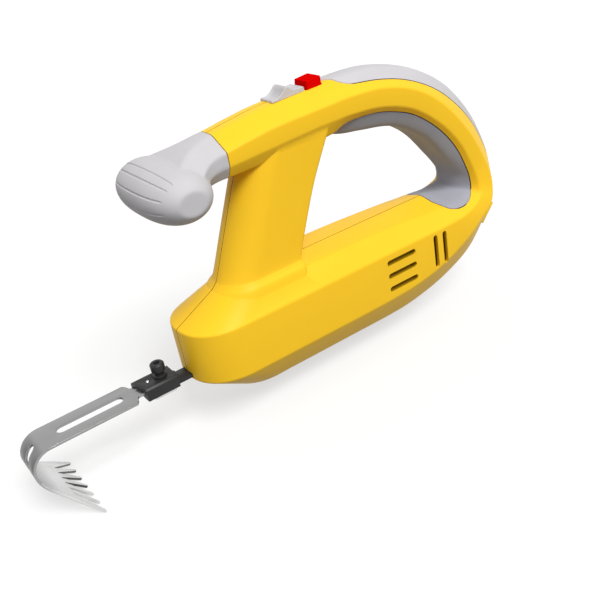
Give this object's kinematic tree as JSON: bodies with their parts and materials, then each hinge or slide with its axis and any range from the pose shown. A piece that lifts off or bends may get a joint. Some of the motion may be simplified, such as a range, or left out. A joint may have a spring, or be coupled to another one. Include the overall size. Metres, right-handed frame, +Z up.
{
  "type": "cordless weed puller",
  "caption": "Hand-held battery tool whose motor shakes a bent, toothed steel blade to loosen and lift weeds, with a cross grip in front and a loop handle.",
  "frame": {"origin": "middle of the tool's length and width, on the surface that the tips of the tines touch", "axes": "+X from the blade to the rear of the handle loop, +Y to the tool's right-hand side seen by the user who faces the blade, +Z up"},
  "size_m": [0.4746, 0.096, 0.2483],
  "materials": {
    "yellow_shell": "satin moulded plastic, yellow",
    "blade_steel": "rolled spring steel, bare",
    "black_steel": "blackened steel",
    "bright_steel": "zinc plated steel",
    "gear_steel": "hardened steel, oiled",
    "gearcase_alloy": "die cast, plain",
    "brass": "machined",
    "rotor_copper": "laminations with copper winding",
    "dark_plastic": "moulded, dark",
    "light_grey_grip": "soft moulded, light grey",
    "inner_grip_grey": "soft moulded, mid grey",
    "red_button": "moulded, red",
    "cell_wrap": "shrink wrap",
    "circuit_board": "solder mask",
    "seal_rubber": "moulded rubber"
  },
  "bodies": {
    "housing": {"left_housing": "yellow_shell", "right_housing": "yellow_shell", "front_grip": "light_grey_grip", "front_grip_screw": "bright_steel", "upper_grip": "light_grey_grip", "inner_grip": "inner_grip_grey", "housing_screw_1": "bright_steel", "housing_screw_2": "bright_steel", "housing_screw_3": "bright_steel", "housing_screw_4": "bright_steel", "housing_screw_5": "bright_steel", "housing_screw_6": "bright_steel", "housing_screw_7": "bright_steel", "gearcase_base": "gearcase_alloy", "gearcase_cover": "gearcase_alloy", "gearcase_screw_1": "bright_steel", "gearcase_screw_2": "bright_steel", "gearcase_screw_3": "bright_steel", "gearcase_screw_4": "bright_steel", "lower_crank_bearing": "bright_steel", "upper_crank_bearing": "bright_steel", "front_guide": "dark_plastic", "rear_guide": "dark_plastic", "nose_seal": "seal_rubber", "motor_can": "blade_steel", "motor_end_cap": "dark_plastic", "battery_holder": "dark_plastic", "battery_cell_1": "cell_wrap", "battery_cell_2": "cell_wrap", "battery_cell_3": "cell_wrap", "control_board": "circuit_board", "charge_socket": "dark_plastic", "cover_hinge_pin": "bright_steel", "switch_module": "dark_plastic", "lock_spring": "bright_steel"},
    "blade_carriage": {"plunger": "black_steel", "blade": "blade_steel", "blade_clamp": "black_steel", "clamp_nut_plate": "bright_steel", "locating_pin": "bright_steel"},
    "clamp_screw": {"thumb_screw": "black_steel"},
    "crank": {"crankshaft": "bright_steel", "drive_gear": "gear_steel", "follower_bearing": "bright_steel"},
    "rotor": {"motor_rotor": "rotor_copper", "motor_pinion": "brass"},
    "switch_slide": {"slide_switch": "light_grey_grip"},
    "button": {"lock_button": "red_button"},
    "port_cover": {"charge_port_cover": "yellow_shell"}
  },
  "joints": [
    {"name": "plunger_slide", "type": "slide", "parent": "housing", "child": "blade_carriage", "axis": [1, 0, 0], "range_m": [-0.0015, 0.0015]},
    {"name": "clamp_screw_turn", "type": "hinge", "parent": "blade_carriage", "child": "clamp_screw", "pos_m": [-0.12125, 0, 0.05903], "axis": [0, 0, 1], "range_deg": [0, 1080]},
    {"name": "rotor_spin", "type": "hinge", "parent": "housing", "child": "rotor", "pos_m": [-0.0216, 0, 0.05903], "axis": [0, 0, 1], "continuous": true},
    {"name": "crank_spin", "type": "hinge", "parent": "housing", "child": "crank", "pos_m": [-0.04575, 0, 0.05903], "axis": [0, 0, 1], "continuous": true},
    {"name": "switch_travel", "type": "slide", "parent": "housing", "child": "switch_slide", "axis": [1, 0, 0], "range_m": [-0.005, 0]},
    {"name": "button_travel", "type": "slide", "parent": "housing", "child": "button", "axis": [0, 0, -1], "range_m": [0, 0.0025], "stiffness_N_per_m": 300, "springref_m": -0.004, "deforming": ["lock_spring"]},
    {"name": "port_cover_hinge", "type": "hinge", "parent": "housing", "child": "port_cover", "pos_m": [0.21477, 0, 0.06444], "axis": [0, 1, 0], "range_deg": [0, 100]}
  ],
  "couplings": [
    {"joint": "crank_spin", "follows": "rotor_spin", "ratio": -0.33333}
  ]
}
